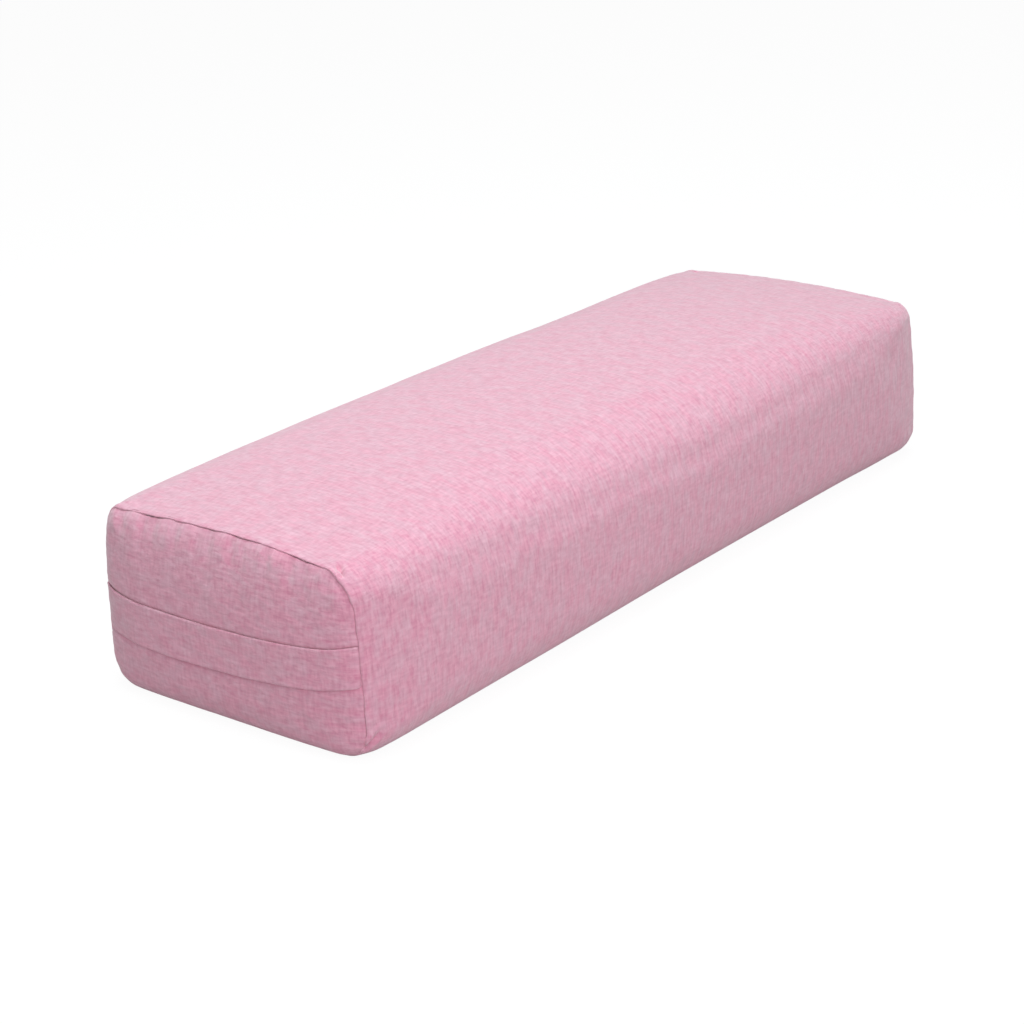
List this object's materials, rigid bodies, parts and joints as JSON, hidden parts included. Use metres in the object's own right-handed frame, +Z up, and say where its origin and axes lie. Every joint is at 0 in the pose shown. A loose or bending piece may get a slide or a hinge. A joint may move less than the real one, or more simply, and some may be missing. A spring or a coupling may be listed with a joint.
{
  "type": "yoga bolster",
  "caption": "Rectangular yoga bolster: crowned foam and wadding pad in a zipped fabric cover, with a flat carry strap across one end.",
  "frame": {"origin": "middle of the flat base that the bolster rests on", "axes": "+Z up out of the top; +Y along the bolster, from the end with the carry strap (-Y) to the plain end; the zip is low on the long side at -X"},
  "size_m": [0.2654, 0.7419, 0.1475],
  "materials": {
    "cover_fabric": "matte",
    "strap_fabric": "matte",
    "zip_tape": "matte",
    "zip_coil": "satin",
    "zip_metal": "satin",
    "liner_cloth": "matte",
    "wadding": "matte",
    "firm_foam": "matte",
    "soft_foam": "matte"
  },
  "bodies": {
    "bolster": {"cover_wrap": "cover_fabric", "cover_end_front": "cover_fabric", "cover_end_rear": "cover_fabric", "zip_tape_upper": "zip_tape", "zip_tape_lower": "zip_tape", "zip_coil_upper": "zip_coil", "zip_coil_lower": "zip_coil", "zip_bottom_stop": "zip_metal", "zip_top_stop_upper": "zip_metal", "zip_top_stop_lower": "zip_metal", "liner_wrap": "liner_cloth", "liner_end_front": "liner_cloth", "liner_end_rear": "liner_cloth", "wadding_wrap": "wadding", "wadding_end_front": "wadding", "wadding_end_rear": "wadding", "foam_core": "firm_foam", "foam_layer_top": "soft_foam", "foam_layer_bottom": "soft_foam"},
    "strap_left": {"strap_left": "strap_fabric"},
    "strap_grip": {"strap_grip": "strap_fabric"},
    "strap_right": {"strap_right": "strap_fabric"},
    "slider": {"zip_slider": "zip_metal"},
    "pull_tab": {"zip_pull_tab": "zip_metal"}
  },
  "joints": [
    {"name": "strap_lift", "type": "slide", "parent": "bolster", "child": "strap_grip", "axis": [0, -1, 0], "range_m": [0, 0.03]},
    {"name": "strap_left_swing", "type": "hinge", "parent": "bolster", "child": "strap_left", "pos_m": [-0.11482, -0.36085, 0.06], "axis": [0, 0, -1], "range_deg": [0, 25]},
    {"name": "strap_right_swing", "type": "hinge", "parent": "bolster", "child": "strap_right", "pos_m": [0.11482, -0.36085, 0.06], "axis": [0, 0, 1], "range_deg": [0, 25]},
    {"name": "zip_slide", "type": "slide", "parent": "bolster", "child": "slider", "axis": [0, -1, 0], "range_m": [0, 0.543]},
    {"name": "pull_tab_swing", "type": "hinge", "parent": "slider", "child": "pull_tab", "pos_m": [-0.13385, 0.27165, 0.035], "axis": [0, 0, -1], "range_deg": [0, 175]}
  ],
  "couplings": [
    {"joint": "strap_left_swing", "follows": "strap_lift", "rad_per_m": 13.42},
    {"joint": "strap_right_swing", "follows": "strap_lift", "rad_per_m": 13.42}
  ]
}
